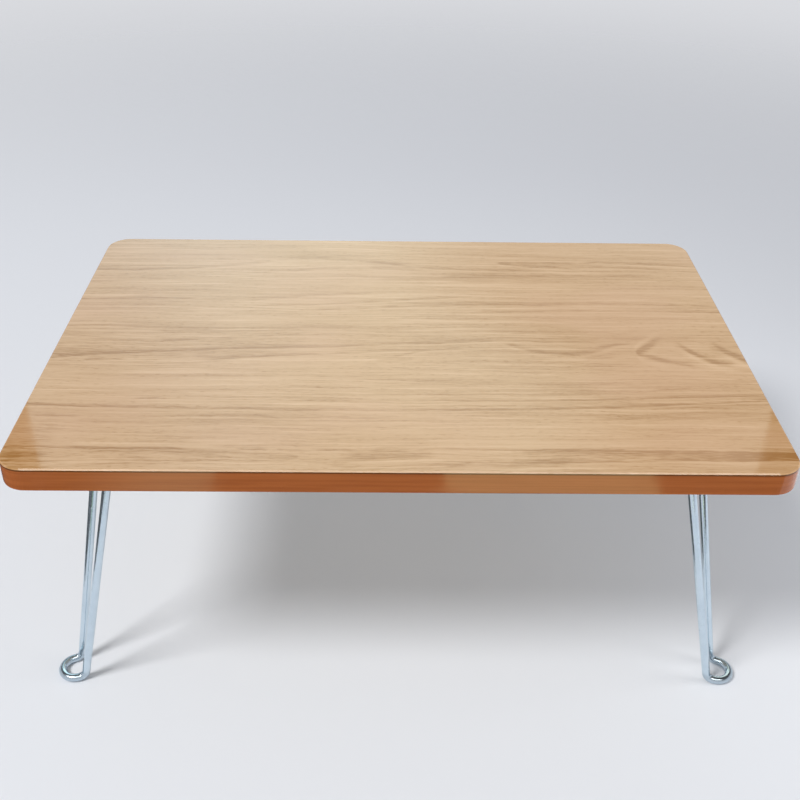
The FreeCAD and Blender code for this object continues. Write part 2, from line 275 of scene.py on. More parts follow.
# The oak print's own figure, in millimetres on the desktop, listed mostly from the back to the front.
# Lines: from x, to x, middle y, slope, bow (1/m), width, fade, strength (pale where negative)
GRAIN_LINES = (
    (-330, -128, 129.6, 0.091, 1.06, 2.2, 4.5, 0.90),
    (-152, -124, 147.5, 0.25, 0.0, 3.2, 3.2, 0.80),
    (-192, -138, 151, -0.03, 0.0, 1.4, 3.0, 0.50),
    (-116, 18, 151, -0.15, -1.36, 1.8, 5.0, 0.65),
    (-34, 18, 139.5, -0.10, 0.0, 6.5, 8.0, 0.60),
    (95, 118, 148, 0.0, 0.0, 3.6, 3.6, 0.85),
    (0, 150, 132, -0.06, 0.32, 1.3, 5.0, 0.80),
    (-150, 32, 133, 0.04, -0.80, 1.2, 4.0, 0.60),
    (180, 325, 149, -0.08, -0.80, 1.5, 4.0, 0.95),
    (110, 325, 140.5, -0.06, -0.70, 1.2, 4.0, 0.65),
    (30, 260, 119, 0.01, 0.0, 1.3, 5.0, 0.50),
    (112, 205, 133, 0.0, 0.0, 0.9, 1.6, -0.55),
    (-330, -185, 66, 0.005, 0.0, 0.9, 2.0, 0.95),
    (-240, -165, 69.5, 0.0, 0.0, 1.0, 1.6, -0.45),
    (-150, -20, 76, 0.14, -1.20, 1.3, 5.0, 0.60),
    (-150, 70, 62.5, 0.10, 0.15, 1.1, 4.0, 0.85),
    (-110, 325, 60, 0.03, -0.19, 1.2, 4.0, 0.75),
    (45, 165, 56.5, 0.04, 0.0, 1.1, 3.0, 0.55),
    (55, 330, 48, 0.01, -0.15, 1.1, 3.5, 0.90),
    (155, 250, 69, 0.0, -0.40, 1.2, 2.0, -0.50),
    (-20, 165, 30, -0.02, 0.0, 1.1, 4.0, 0.45),
    (-325, -175, 42, -0.04, 0.0, 1.1, 4.0, 0.50),
    (-330, -95, -29, 0.11, -0.50, 1.2, 4.0, 0.90),
    (-345, -60, -26, 0.06, 0.0, 28.0, 28.0, 0.42),
    (-130, 102, -16, 0.075, -0.05, 1.2, 4.0, 0.90),
    (-275, -232, -43.5, 0.05, 0.0, 1.3, 2.0, 1.00),
    (-174, -130, -42, 0.08, 0.0, 2.4, 4.0, 0.80),
    (-175, 78, -31, 0.085, -0.10, 1.1, 3.5, 0.70),
    (-26, 12, -42.5, 0.08, 0.0, 3.2, 4.0, 0.45),
    (-10, 28, -31, 0.40, 0.0, 1.3, 2.0, 0.60),
    (-214, -172, -8.5, 0.05, 0.0, 1.3, 2.5, 0.80),
    (85, 199, -30.5, 0.0, 7.20, 2.6, 4.0, 0.75),
    (84, 202, -10, 0.0, 0.0, 1.2, 3.0, 0.55),
    (170, 207, -14, 0.25, 0.0, 2.4, 3.0, 0.85),
    (156, 188, -37, 0.10, 0.0, 2.4, 4.0, 0.50),
    (212, 258, -42.5, -0.38, 4.0, 3.2, 3.6, 0.90),
    (242, 292, -37, -0.80, 25.0, 4.6, 5.0, 1.40),
    (274, 314, -32, -1.00, 20.0, 5.0, 5.6, 1.30),
    (204, 230, -19, 0.80, 0.0, 4.5, 4.5, 0.90),
    (240, 262, -20, -0.90, 0.0, 5.0, 5.0, 0.80),
    (270, 302, -24, -0.50, 0.0, 6.5, 6.5, 0.65),
    (-272, 2, -70, 0.0, 0.0, 1.0, 3.0, 0.40),
    (-125, 55, -76, 0.0, 0.0, 1.0, 3.0, 0.40),
    (-102, -15, -87, 0.02, 0.0, 1.0, 2.5, 0.55),
    (205, 245, -86, 0.05, 0.0, 1.1, 2.0, 0.65),
    (-225, 65, -106.5, -0.01, 0.0, 0.9, 2.5, 0.75),
    (20, 330, -102, 0.045, 0.15, 0.9, 2.5, 0.75),
    (-217, -188, -104.5, 0.04, 0.0, 1.2, 2.0, 0.80),
    (-160, 125, -113, 0.0, 0.0, 0.8, 2.0, 0.50),
    (-330, 75, -119.5, -0.008, 0.10, 1.0, 3.0, 0.95),
    (20, 330, -113, 0.07, 0.20, 1.0, 3.0, 0.90),
    (-330, -215, -116, 0.0, 0.0, 1.6, 2.5, 0.80),
    (-60, 82, -110, 0.0, 0.0, 0.9, 1.4, -0.45),
    (-190, 330, -99.5, 0.02, 0.10, 0.9, 1.4, -0.45),
    (-330, -60, -112, 0.0, 0.0, 0.9, 1.4, -0.40),
    (-40, 250, -123, 0.03, 0.10, 0.9, 1.4, -0.40),
    (-296, -250, -131, 0.0, 0.0, 1.2, 2.4, 0.85),
    (-205, 5, -130, 0.0, 0.0, 1.0, 3.0, 0.60),
    (155, 195, -129, 0.05, 0.0, 1.1, 2.5, 0.50),
    (-340, -258, -173, -0.05, 0.0, 1.2, 1.6, 0.90),
    (-296, -155, -173, 0.0, 0.0, 1.1, 2.0, 1.00),
    (-127, -98, -172, 0.0, 0.0, 1.1, 2.0, 0.65),
    (-125, -45, -172.5, 0.0, 0.0, 1.4, 2.0, 0.50),
    (-72, -33, -171.5, 0.0, 0.0, 1.1, 2.0, 0.95),
    (-28, 12, -174, -0.05, 0.0, 1.1, 2.4, 0.75),
    (83, 180, -173, 0.0, 0.0, 1.0, 1.2, 0.45),
    (165, 330, -176, -0.03, 0.0, 1.1, 1.4, 0.45),
    (10, 330, -162, 0.0, 0.0, 5.0, 6.0, -0.50),
    (80, 330, -172.2, -0.01, 0.0, 7.0, 0.9, 1.10),
    (80, 330, -185.5, 0.03, 0.0, 1.6, 9.0, 1.50),
    (80, 330, -189.3, 0.03, 0.0, 1.8, 1.8, 0.60),
    (80, 330, -196, 0.0, 0.0, 8.0, 8.0, 0.20),
    (25, 130, -189, 0.0, 0.0, 5.0, 5.0, 0.60),
    (85, 300, -184, -0.01, 0.0, 1.2, 1.6, 0.55),
    (-330, -150, -172, 0.0, 0.0, 5.0, 0.9, 0.30),
    (-50, 30, -181.5, 0.0, 0.0, 3.5, 9.0, 1.00),
    (-60, 60, -193, 0.0, 0.0, 5.0, 5.0, 0.60),
    (-345, -255, -188, 0.0, 0.0, 10.0, 12.0, 1.00),
    (-270, -180, -187, 0.0, 0.0, 8.0, 8.0, 0.50),
    (-345, -258, -160, 0.0, 0.0, 30.0, 30.0, 0.52),
    (0, 200, -166.5, 0.0, 0.0, 2.0, 2.2, -0.75),
    (-260, -130, -168, 0.0, 0.0, 1.8, 2.2, -0.80),
)
# Tongues: tip x, tip y, side, opening, point, reach, lean, width, fade, strength
GRAIN_TONGUES = (
    (101, 148, 1, 0.027, 0.50, 110, -0.06, 1.8, 4.0, 0.85),
    (207, -28, 1, 0.38, 0.80, 30, 0.22, 4.6, 5.2, 1.40),
    (-127.5, -183.5, -1, 0.031, 0.50, 150, 0.0, 1.4, 4.0, 0.50),
    (-77, -181, -1, 0.030, 0.50, 170, -0.03, 1.4, 4.0, 0.40),
)


# Node helpers

def feed(tree, socket, source):
    """Link a socket to its source, or set it where the source is a plain value."""
    if isinstance(source, bpy.types.NodeSocket):
        tree.links.new(source, socket)
    elif isinstance(source, tuple) and len(source) == 3 and socket.type == "RGBA":
        socket.default_value = (*source, 1)
    else:
        socket.default_value = source


def calc(tree, operation, *terms):
    node = tree.nodes.new("ShaderNodeMath")
    node.operation = operation
    for socket, term in zip(node.inputs, terms):
        feed(tree, socket, term)
    return node.outputs[0]


def ramp(tree, value, start, end, low=0.0, high=1.0):
    """A smooth step from low to high as the value goes from start to end."""
    node = tree.nodes.new("ShaderNodeMapRange")
    node.interpolation_type = "SMOOTHSTEP"
    # A smooth step keeps to its range by itself, and a clamp for each would overfill the oak's shader
    node.clamp = False
    for socket, term in zip(node.inputs, (value, start, end, low, high)):
        feed(tree, socket, term)
    return node.outputs[0]


def bell(tree, share):
    """A smooth bump: 1 where the share is 0, falling off either way."""
    square = calc(tree, "MULTIPLY", share, share)
    return calc(tree, "EXPONENT", calc(tree, "MULTIPLY", square, -1.0))


def blend_colours(tree, share, first, second):
    node = tree.nodes.new("ShaderNodeMix")
    node.data_type = "RGBA"
    feed(tree, node.inputs["Factor"], share)
    feed(tree, node.inputs[6], first)
    feed(tree, node.inputs[7], second)
    return node.outputs[2]


def shades(tree, value, stops):
    """Colours along a value, as (place, colour) stops."""
    node = tree.nodes.new("ShaderNodeValToRGB")
    feed(tree, node.inputs[0], value)
    row = node.color_ramp.elements
    while len(row) < len(stops):
        row.new(1.0)
    for element, (position, colour) in zip(row, stops):
        element.position = position
        element.color = (*colour, 1)
    return node.outputs["Color"]


def noise(tree, place, cells, detail=2.0, roughness=0.5, distortion=0.0, shift=(0, 0, 0)):
    """Noise with so many cells per metre along each axis; the shift only picks another pattern."""
    mapping = tree.nodes.new("ShaderNodeMapping")
    feed(tree, mapping.inputs["Vector"], place)
    mapping.inputs["Scale"].default_value = cells
    mapping.inputs["Location"].default_value = shift
    node = tree.nodes.new("ShaderNodeTexNoise")
    tree.links.new(mapping.outputs[0], node.inputs["Vector"])
    node.inputs["Scale"].default_value = 1.0
    node.inputs["Detail"].default_value = detail
    node.inputs["Roughness"].default_value = roughness
    node.inputs["Distortion"].default_value = distortion
    return node.outputs["Fac"]


def split(tree, place):
    node = tree.nodes.new("ShaderNodeSeparateXYZ")
    feed(tree, node.inputs[0], place)
    return node.outputs[0], node.outputs[1], node.outputs[2]


def join(tree, x, y, z):
    node = tree.nodes.new("ShaderNodeCombineXYZ")
    feed(tree, node.inputs[0], x)
    feed(tree, node.inputs[1], y)
    feed(tree, node.inputs[2], z)
    return node.outputs[0]


def object_place(tree):
    return tree.nodes.new("ShaderNodeTexCoord").outputs["Object"]


def bump(tree, height, strength, distance):
    node = tree.nodes.new("ShaderNodeBump")
    node.inputs["Strength"].default_value = strength
    node.inputs["Distance"].default_value = distance
    feed(tree, node.inputs["Height"], height)
    return node.outputs["Normal"]


def make_group(name, inputs, outputs):
    """A shader node group with named sockets: (group, its input node, its output node)."""
    group = bpy.data.node_groups.new(name, "ShaderNodeTree")
    for label, default in inputs:
        kind = "NodeSocketVector" if default is None else "NodeSocketFloat"
        socket = group.interface.new_socket(label, in_out="INPUT", socket_type=kind)
        if default is not None:
            socket.default_value = default
    for label in outputs:
        group.interface.new_socket(label, in_out="OUTPUT", socket_type="NodeSocketFloat")
    return group, group.nodes.new("NodeGroupInput"), group.nodes.new("NodeGroupOutput")


def place_group(tree, group, **values):
    """One use of a group, with its sockets fed by name (underscores stand for spaces)."""
    node = tree.nodes.new("ShaderNodeGroup")
    node.node_tree = group
    for label, source in values.items():
        feed(tree, node.inputs[label.replace("_", " ")], source)
    return node.outputs


def new_material(name):
    """A material with its tree and its Principled shader."""
    material = bpy.data.materials.new(name)
    material.use_nodes = True
    return material, material.node_tree, material.node_tree.nodes["Principled BSDF"]


# Shared effects

def wood_fibre_group():
    """Streaks, fine fibres and short pores that all run along X."""
    group, given, result = make_group(
        "wood_fibres",
        [("Place", None), ("Length", 1.0), ("Fineness", 1.0)],
        ["Streak", "Thread", "Gleam", "Dash", "Fibre", "Pore"],
    )
    x, y, z = split(group, given.outputs["Place"])
    along = calc(group, "DIVIDE", x, given.outputs["Length"])
    across = calc(group, "MULTIPLY", y, given.outputs["Fineness"])
    upward = calc(group, "MULTIPLY", z, given.outputs["Fineness"])
    place = join(group, along, across, upward)
    streak = noise(group, place, STREAK_CELLS, detail=2, roughness=0.55)
    thread = noise(group, place, THREAD_CELLS, detail=1, roughness=0.5, shift=(6, 1, 9))
    dash = noise(group, place, DASH_CELLS, detail=1, roughness=0.5, shift=(3, 7, 1))
    fibre = noise(group, place, FIBRE_CELLS, detail=1, roughness=0.6, shift=(8, 3, 2))
    pore = noise(group, place, PORE_CELLS, detail=0, shift=(11, 2, 5))
    feed(group, result.inputs["Streak"], streak)
    feed(group, result.inputs["Thread"], ramp(group, thread, *THREAD_RISE))
    feed(group, result.inputs["Gleam"], ramp(group, thread, *GLEAM_RISE))
    feed(group, result.inputs["Dash"], dash)
    feed(group, result.inputs["Fibre"], fibre)
    ringed = ramp(group, streak, *PORE_RING_RISE, *PORE_RING_SHARE)
    pores = calc(group, "MULTIPLY", ramp(group, pore, *PORE_RISE), ringed)
    feed(group, result.inputs["Pore"], pores)
    return group


def growth_profile(group, off, given):
    """The tone across a growth line: it fades one way, and ends sharply at a pale edge the other way."""
    fading = calc(group, "GREATER_THAN", off, 0.0)
    span = calc(group, "SUBTRACT", given.outputs["Fade"], given.outputs["Width"])
    width = calc(group, "MULTIPLY_ADD", fading, span, given.outputs["Width"])
    dark = bell(group, calc(group, "DIVIDE", off, width))
    beside = calc(group, "MULTIPLY_ADD", given.outputs["Width"], PALE_EDGE_STEP, off)
    pale = bell(group, calc(group, "DIVIDE", beside, given.outputs["Width"]))
    return calc(group, "SUBTRACT", dark, calc(group, "MULTIPLY", pale, PALE_EDGE))


def grain_line_group():
    """One growth line along X: sharp on one side, fading out on the other."""
    group, given, result = make_group(
        "grain_line",
        [("Place", None), ("From X", -0.1), ("To X", 0.1), ("Middle Y", 0.0), ("Slope", 0.0),
         ("Bow", 0.0), ("Width", 0.001), ("Fade", 0.004), ("Strength", 1.0)],
        ["Mask"],
    )
    x, y, _ = split(group, given.outputs["Place"])
    start, end = given.outputs["From X"], given.outputs["To X"]
    middle = calc(group, "MULTIPLY", calc(group, "ADD", start, end), 0.5)
    along = calc(group, "SUBTRACT", x, middle)
    rise = calc(group, "MULTIPLY", along, given.outputs["Slope"])
    bow = calc(group, "MULTIPLY", calc(group, "MULTIPLY", along, along), given.outputs["Bow"])
    line = calc(group, "ADD", calc(group, "ADD", rise, bow), given.outputs["Middle Y"])
    profile = growth_profile(group, calc(group, "SUBTRACT", y, line), given)
    length = calc(group, "SUBTRACT", end, start)
    tail = calc(group, "MULTIPLY_ADD", length, LINE_END_SHARE, LINE_END_LENGTH)
    begun = ramp(group, calc(group, "SUBTRACT", x, start), 0.0, tail)
    ends = calc(group, "MULTIPLY", begun, ramp(group, calc(group, "SUBTRACT", end, x), 0.0, tail))
    mask = calc(group, "MULTIPLY", calc(group, "MULTIPLY", profile, ends), given.outputs["Strength"])
    feed(group, result.inputs["Mask"], mask)
    return group


def grain_tongue_group():
    """One growth line that turns back on itself: a pointed tongue opening along +X or -X."""
    group, given, result = make_group(
        "grain_tongue",
        [("Place", None), ("Tip X", 0.0), ("Tip Y", 0.0), ("Side", 1.0), ("Opening", 0.05),
         ("Point", 0.5), ("Reach", 0.1), ("Lean", 0.0), ("Width", 0.001), ("Fade", 0.004),
         ("Strength", 1.0)],
        ["Mask"],
    )
    x, y, _ = split(group, given.outputs["Place"])
    from_tip = calc(group, "SUBTRACT", x, given.outputs["Tip X"])
    along = calc(group, "MULTIPLY", from_tip, given.outputs["Side"])
    spread = calc(group, "POWER", calc(group, "MAXIMUM", along, 0.0), given.outputs["Point"])
    half = calc(group, "MULTIPLY", spread, given.outputs["Opening"])
    axis = calc(group, "MULTIPLY_ADD", along, given.outputs["Lean"], given.outputs["Tip Y"])
    off = calc(group, "SUBTRACT", calc(group, "ABSOLUTE", calc(group, "SUBTRACT", y, axis)), half)
    profile = growth_profile(group, calc(group, "MULTIPLY", off, -1.0), given)
    tip = ramp(group, along, *TONGUE_TIP_RISE)
    reach = ramp(group, calc(group, "DIVIDE", along, given.outputs["Reach"]), *TONGUE_REACH_RISE)
    ends = calc(group, "MULTIPLY", tip, reach)
    mask = calc(group, "MULTIPLY", calc(group, "MULTIPLY", profile, ends), given.outputs["Strength"])
    feed(group, result.inputs["Mask"], mask)
    return group


def scaled_place(group, given):
    scaled = group.nodes.new("ShaderNodeVectorMath")
    scaled.operation = "SCALE"
    feed(group, scaled.inputs[0], given.outputs["Place"])
    feed(group, scaled.inputs["Scale"], given.outputs["Scale"])
    return scaled.outputs[0]


def handling_group():
    """Soft smudges and fine scratches from use, as masks."""
    group, given, result = make_group(
        "handling_marks", [("Place", None), ("Scale", 1.0)], ["Smudge", "Scratch"]
    )
    place = scaled_place(group, given)
    smudge = noise(group, place, SMUDGE_CELLS, detail=4, roughness=0.62, distortion=0.4)
    scratch = noise(group, place, SCRATCH_CELLS, detail=1, distortion=0.25, shift=(5, 9, 2))
    feed(group, result.inputs["Smudge"], ramp(group, smudge, *SMUDGE_RISE))
    feed(group, result.inputs["Scratch"], ramp(group, scratch, *SCRATCH_RISE))
    return group


def drawn_metal_group():
    """Fine draw lines, plating mottle and dull spots of plated steel, as masks."""
    group, given, result = make_group(
        "plating", [("Place", None), ("Scale", 1.0)], ["Lines", "Mottle", "Spots"]
    )
    place = scaled_place(group, given)
    lines = noise(group, place, DRAWN_CELLS, detail=2, roughness=0.6)
    mottle = noise(group, place, MOTTLE_CELLS, detail=4, roughness=0.65)
    spots = noise(group, place, SPOT_CELLS, detail=1, shift=(4, 8, 3))
    feed(group, result.inputs["Lines"], lines)
    feed(group, result.inputs["Mottle"], ramp(group, mottle, *MOTTLE_RISE))
    feed(group, result.inputs["Spots"], ramp(group, spots, *SPOT_RISE))
    return group


FIBRES = wood_fibre_group()
GRAIN_LINE = grain_line_group()
GRAIN_TONGUE = grain_tongue_group()
HANDLING = handling_group()
PLATING = drawn_metal_group()


# The desk's finishes

def figure_mask(tree, place):
    """All the growth lines of the print added up, and capped."""
    total = 0.0
    for start, end, middle, slope, bow, width, fade, strength in GRAIN_LINES:
        mask = place_group(
            tree, GRAIN_LINE, Place=place, From_X=start * MILLIMETRE, To_X=end * MILLIMETRE,
            Middle_Y=middle * MILLIMETRE, Slope=slope, Bow=bow, Width=width * MILLIMETRE,
            Fade=fade * MILLIMETRE, Strength=strength,
        )["Mask"]
        total = calc(tree, "ADD", total, mask)
    for tip_x, tip_y, side, opening, point, reach, lean, width, fade, strength in GRAIN_TONGUES:
        mask = place_group(
            tree, GRAIN_TONGUE, Place=place, Tip_X=tip_x * MILLIMETRE, Tip_Y=tip_y * MILLIMETRE,
            Side=float(side), Opening=opening, Point=point, Reach=reach * MILLIMETRE, Lean=lean,
            Width=width * MILLIMETRE, Fade=fade * MILLIMETRE, Strength=strength,
        )["Mask"]
        total = calc(tree, "ADD", total, mask)
    return calc(tree, "MINIMUM", total, FIGURE_CAP)


def wavering_place(tree, place):
    """The place, pushed a little to and fro across the grain."""
    slow = calc(tree, "SUBTRACT", noise(tree, place, SLOW_WAVER_CELLS), NOISE_MIDDLE)
    quick = calc(tree, "SUBTRACT", noise(tree, place, QUICK_WAVER_CELLS), NOISE_MIDDLE)
    slow_push = calc(tree, "MULTIPLY", slow, SLOW_WAVER)
    quick_push = calc(tree, "MULTIPLY", quick, QUICK_WAVER)
    push = calc(tree, "ADD", slow_push, quick_push)
    x, y, z = split(tree, place)
    return join(tree, x, calc(tree, "ADD", y, push), z)


def oak_tone(tree, wavering, fibres):
    """How pale the print is, from 0 for a growth line to 1 for the palest streak."""
    broad = noise(tree, wavering, BROAD_CELLS, detail=2, roughness=0.5, shift=(1, 4, 0))
    banding = noise(tree, wavering, BANDING_CELLS, detail=1, roughness=0.5, shift=(3, 9, 0))
    layers = (
        (broad, BROAD_SHARE),
        (banding, BANDING_SHARE),
        (fibres["Streak"], STREAK_SHARE),
        (fibres["Dash"], DASH_SHARE),
        (fibres["Fibre"], FIBRE_SHARE),
    )
    tone = 0.0
    for layer, share in layers:
        part = calc(tree, "MULTIPLY", calc(tree, "SUBTRACT", layer, NOISE_MIDDLE), share)
        tone = calc(tree, "ADD", tone, part)
    broken = ramp(tree, fibres["Dash"], *FIGURE_BREAK_RISE, *FIGURE_BREAK_SHARE)
    drawn = calc(tree, "MULTIPLY", figure_mask(tree, wavering), broken)
    tone = calc(tree, "SUBTRACT", tone, calc(tree, "MULTIPLY", drawn, FIGURE_SHARE))
    tone = calc(tree, "SUBTRACT", tone, calc(tree, "MULTIPLY", fibres["Thread"], THREAD_SHARE))
    tone = calc(tree, "ADD", tone, calc(tree, "MULTIPLY", fibres["Gleam"], GLEAM_SHARE))
    tone = calc(tree, "SUBTRACT", tone, calc(tree, "MULTIPLY", fibres["Pore"], PORE_SHARE))
    return calc(tree, "ADD", tone, TONE_MIDDLE)


def oak_laminate():
    """Printed oak under a hard clear face, and the brown core that shows at the sheet's edge."""
    material, tree, shader = new_material("oak_laminate")
    place = object_place(tree)
    wavering = wavering_place(tree, place)
    fibres = place_group(tree, FIBRES, Place=wavering, Length=1.0, Fineness=1.0)
    colour = shades(tree, oak_tone(tree, wavering, fibres), OAK_SHADES)
    patch = noise(tree, place, PINK_CELLS, detail=2, shift=(2, 6, 0))
    colour = blend_colours(tree, ramp(tree, patch, *PINK_RISE, 0.0, PINK_SHARE), colour, OAK_PINK)

    side_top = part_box("top_sheet")[0].z + SHEET_SIDE
    height = split(tree, place)[2]
    side = ramp(tree, height, side_top + SHEET_SIDE_BLUR, side_top)
    colour = blend_colours(tree, side, colour, OAK_CORE)
    feed(tree, shader.inputs["Base Color"], colour)

    marks = place_group(tree, HANDLING, Place=place, Scale=1.0)
    gloss = ramp(tree, marks["Smudge"], 0.0, 1.0, *SHEET_ROUGHNESS)
    gloss = calc(tree, "ADD", gloss, calc(tree, "MULTIPLY", fibres["Pore"], SHEET_PORE_DULLING))
    feed(tree, shader.inputs["Roughness"], gloss)
    pore_height = calc(tree, "MULTIPLY", fibres["Pore"], SHEET_PORE_HEIGHT)
    grain_height = calc(tree, "ADD", pore_height, fibres["Fibre"])
    feed(tree, shader.inputs["Normal"], bump(tree, grain_height, *SHEET_RELIEF))
    shader.inputs["IOR"].default_value = SHEET_IOR
    return material


def band_seam(tree, x, y, back):
    """Where the band's two ends meet, at the back of the desk."""
    behind = calc(tree, "GREATER_THAN", y, back - SEAM_BEHIND)
    off = calc(tree, "ABSOLUTE", calc(tree, "SUBTRACT", x, SEAM_X))
    return calc(tree, "MULTIPLY", ramp(tree, off, *SEAM_RISE), behind)


def brown_edge_band():
    """Moulded plastic strip: faint printed streaks round the desk and one butt seam at the back."""
    material, tree, shader = new_material("brown_edge_band")
    place = object_place(tree)
    x, y, z = split(tree, place)
    low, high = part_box("edge_band")
    streak = noise(tree, place, BAND_STREAK_CELLS, detail=3, roughness=0.6)
    colour = blend_colours(tree, ramp(tree, streak, *BAND_STREAK_RISE), BAND_BROWN, BAND_DEEP)
    fleck = noise(tree, place, BAND_FLECK_CELLS, detail=1, shift=(3, 1, 7))
    flecked = ramp(tree, fleck, *BAND_FLECK_RISE, 0.0, BAND_FLECK_SHARE)
    colour = blend_colours(tree, flecked, colour, BAND_DEEP)
    seam = band_seam(tree, x, y, high.y)
    colour = blend_colours(tree, seam, colour, SEAM_BROWN)
    marks = place_group(tree, HANDLING, Place=place, Scale=BAND_MARK_SCALE)
    # Painted shade: the band is painted darker along its lower edge, in smudgy patches
    lower_edge = ramp(tree, z, low.z + LOWER_SHADE_START, low.z + LOWER_SHADE_FULL)
    painted_shade_and_wear = calc(tree, "MULTIPLY", lower_edge, marks["Smudge"])
    colour = blend_colours(tree, calc(tree, "MULTIPLY", painted_shade_and_wear, LOWER_SHADE_SHARE), colour, BAND_DEEP)
    # A dark glue line at the band's top, partly painted shade of the groove under the top sheet
    glue_line_and_shade = ramp(tree, z, high.z - GLUE_LINE_SHADE_START, high.z - GLUE_LINE_SHADE_FULL)
    colour = blend_colours(tree, calc(tree, "MULTIPLY", glue_line_and_shade, GLUE_LINE_SHADE_SHARE), colour, SEAM_BROWN)
    feed(tree, shader.inputs["Base Color"], colour)

    gloss = ramp(tree, marks["Smudge"], 0.0, 1.0, *BAND_ROUGHNESS)
    gloss = calc(tree, "ADD", gloss, calc(tree, "MULTIPLY", marks["Scratch"], BAND_SCRATCH_DULLING))
    feed(tree, shader.inputs["Roughness"], gloss)
    ripple = calc(tree, "MULTIPLY", noise(tree, place, RIPPLE_CELLS, detail=2), RIPPLE_HEIGHT)
    height = calc(tree, "ADD", ripple, calc(tree, "MULTIPLY", seam, SEAM_HEIGHT))
    feed(tree, shader.inputs["Normal"], bump(tree, height, *BAND_RELIEF))
    return material


def fibreboard():
    """Pressed wood fibre, seen at the drilled holes."""
    material, tree, shader = new_material("fibreboard")
    place = object_place(tree)
    fluff = noise(tree, place, FLUFF_CELLS, detail=4, roughness=0.7)
    fibres = place_group(
        tree, FIBRES, Place=place, Length=CORE_FIBRE_LENGTH, Fineness=CORE_FIBRE_FINENESS
    )
    colour = blend_colours(tree, ramp(tree, fluff, *FLUFF_RISE), FIBRE_DARK, FIBRE_PALE)
    pores = calc(tree, "MULTIPLY", fibres["Pore"], CORE_PORE_SHARE)
    colour = blend_colours(tree, pores, colour, FIBRE_DARK)
    feed(tree, shader.inputs["Base Color"], colour)
    gloss = ramp(tree, fluff, *FLUFF_ROUGHNESS_RISE, *CORE_ROUGHNESS)
    feed(tree, shader.inputs["Roughness"], gloss)
    feed(tree, shader.inputs["Normal"], bump(tree, fluff, *CORE_RELIEF))
    return material


def backing_sheet():
    """Plain balancing paper under the board, with short fibres pressed into it."""
    material, tree, shader = new_material("backing_sheet")
    place = object_place(tree)
    fibres = place_group(
        tree, FIBRES, Place=place, Length=PAPER_FIBRE_LENGTH, Fineness=PAPER_FIBRE_FINENESS
    )
    marks = place_group(tree, HANDLING, Place=place, Scale=PAPER_MARK_SCALE)
    cloud = noise(tree, place, PAPER_CLOUD_CELLS, detail=3, roughness=0.6)
    clouded = ramp(tree, cloud, *PAPER_CLOUD_RISE, 0.0, PAPER_CLOUD_SHARE)
    colour = blend_colours(tree, clouded, PAPER_PALE, PAPER_FLECK)
    pores = calc(tree, "MULTIPLY", fibres["Pore"], PAPER_PORE_SHARE)
    colour = blend_colours(tree, pores, colour, PAPER_FLECK)
    scratches = calc(tree, "MULTIPLY", marks["Scratch"], PAPER_SCRATCH_SHARE)
    colour = blend_colours(tree, scratches, colour, PAPER_PALE)
    feed(tree, shader.inputs["Base Color"], colour)
    gloss = ramp(tree, marks["Smudge"], 0.0, 1.0, *PAPER_ROUGHNESS)
    feed(tree, shader.inputs["Roughness"], gloss)
    feed(tree, shader.inputs["Normal"], bump(tree, fibres["Fibre"], *PAPER_RELIEF))
    return material


def plated_steel(name, bright, dull, roughness, relief, scale, foot_height=0.0):
    """Plated steel: a bright metal with draw lines, cloudy plating, small dull spots, and at the foot
    painted shade and a duller finish.
    """
    material, tree, shader = new_material(name)
    place = object_place(tree)
    plating = place_group(tree, PLATING, Place=place, Scale=scale)
    marks = place_group(tree, HANDLING, Place=place, Scale=STEEL_MARK_SCALE)
    colour = blend_colours(tree, calc(tree, "MULTIPLY", plating["Mottle"], MOTTLE_SHARE), bright, dull)
    colour = blend_colours(tree, calc(tree, "MULTIPLY", plating["Spots"], SPOT_SHARE), colour, dull)
    gloss = ramp(tree, plating["Lines"], *DRAWN_RISE, *roughness)
    if foot_height:
        # Painted shade: the metal near the floor is painted darker, and it is also made rougher there
        painted_shade_and_wear = ramp(tree, split(tree, place)[2], foot_height, foot_height / 2, 0.0, FOOT_SHADE_AND_WEAR)
        colour = blend_colours(tree, painted_shade_and_wear, colour, CHROME_FOOT_SHADE)
        gloss = calc(tree, "MULTIPLY_ADD", painted_shade_and_wear, FOOT_DULLING, gloss)
    feed(tree, shader.inputs["Base Color"], colour)
    gloss = calc(tree, "ADD", gloss, calc(tree, "MULTIPLY", marks["Smudge"], STEEL_SMUDGE_DULLING))
    gloss = calc(tree, "ADD", gloss, calc(tree, "MULTIPLY", plating["Spots"], SPOT_DULLING))
    feed(tree, shader.inputs["Roughness"], gloss)
    shader.inputs["Metallic"].default_value = 1.0
    scratches = calc(tree, "MULTIPLY", marks["Scratch"], STEEL_SCRATCH_HEIGHT)
    height = calc(tree, "ADD", plating["Lines"], scratches)
    feed(tree, shader.inputs["Normal"], bump(tree, height, *relief))
    return material


def cap_nylon():
    """Black moulded caps with a fine matt skin."""
    material, tree, shader = new_material("cap_nylon")
    place = object_place(tree)
    skin = noise(tree, place, SKIN_CELLS, detail=2)
    marks = place_group(tree, HANDLING, Place=place, Scale=CAP_MARK_SCALE)
    smudged = calc(tree, "MULTIPLY", marks["Smudge"], CAP_SMUDGE_SHARE)
    feed(tree, shader.inputs["Base Color"], blend_colours(tree, smudged, NYLON_BLACK, NYLON_GREY))
    feed(tree, shader.inputs["Roughness"], ramp(tree, skin, *SKIN_RISE, *CAP_ROUGHNESS))
    feed(tree, shader.inputs["Normal"], bump(tree, skin, *CAP_RELIEF))
    return material


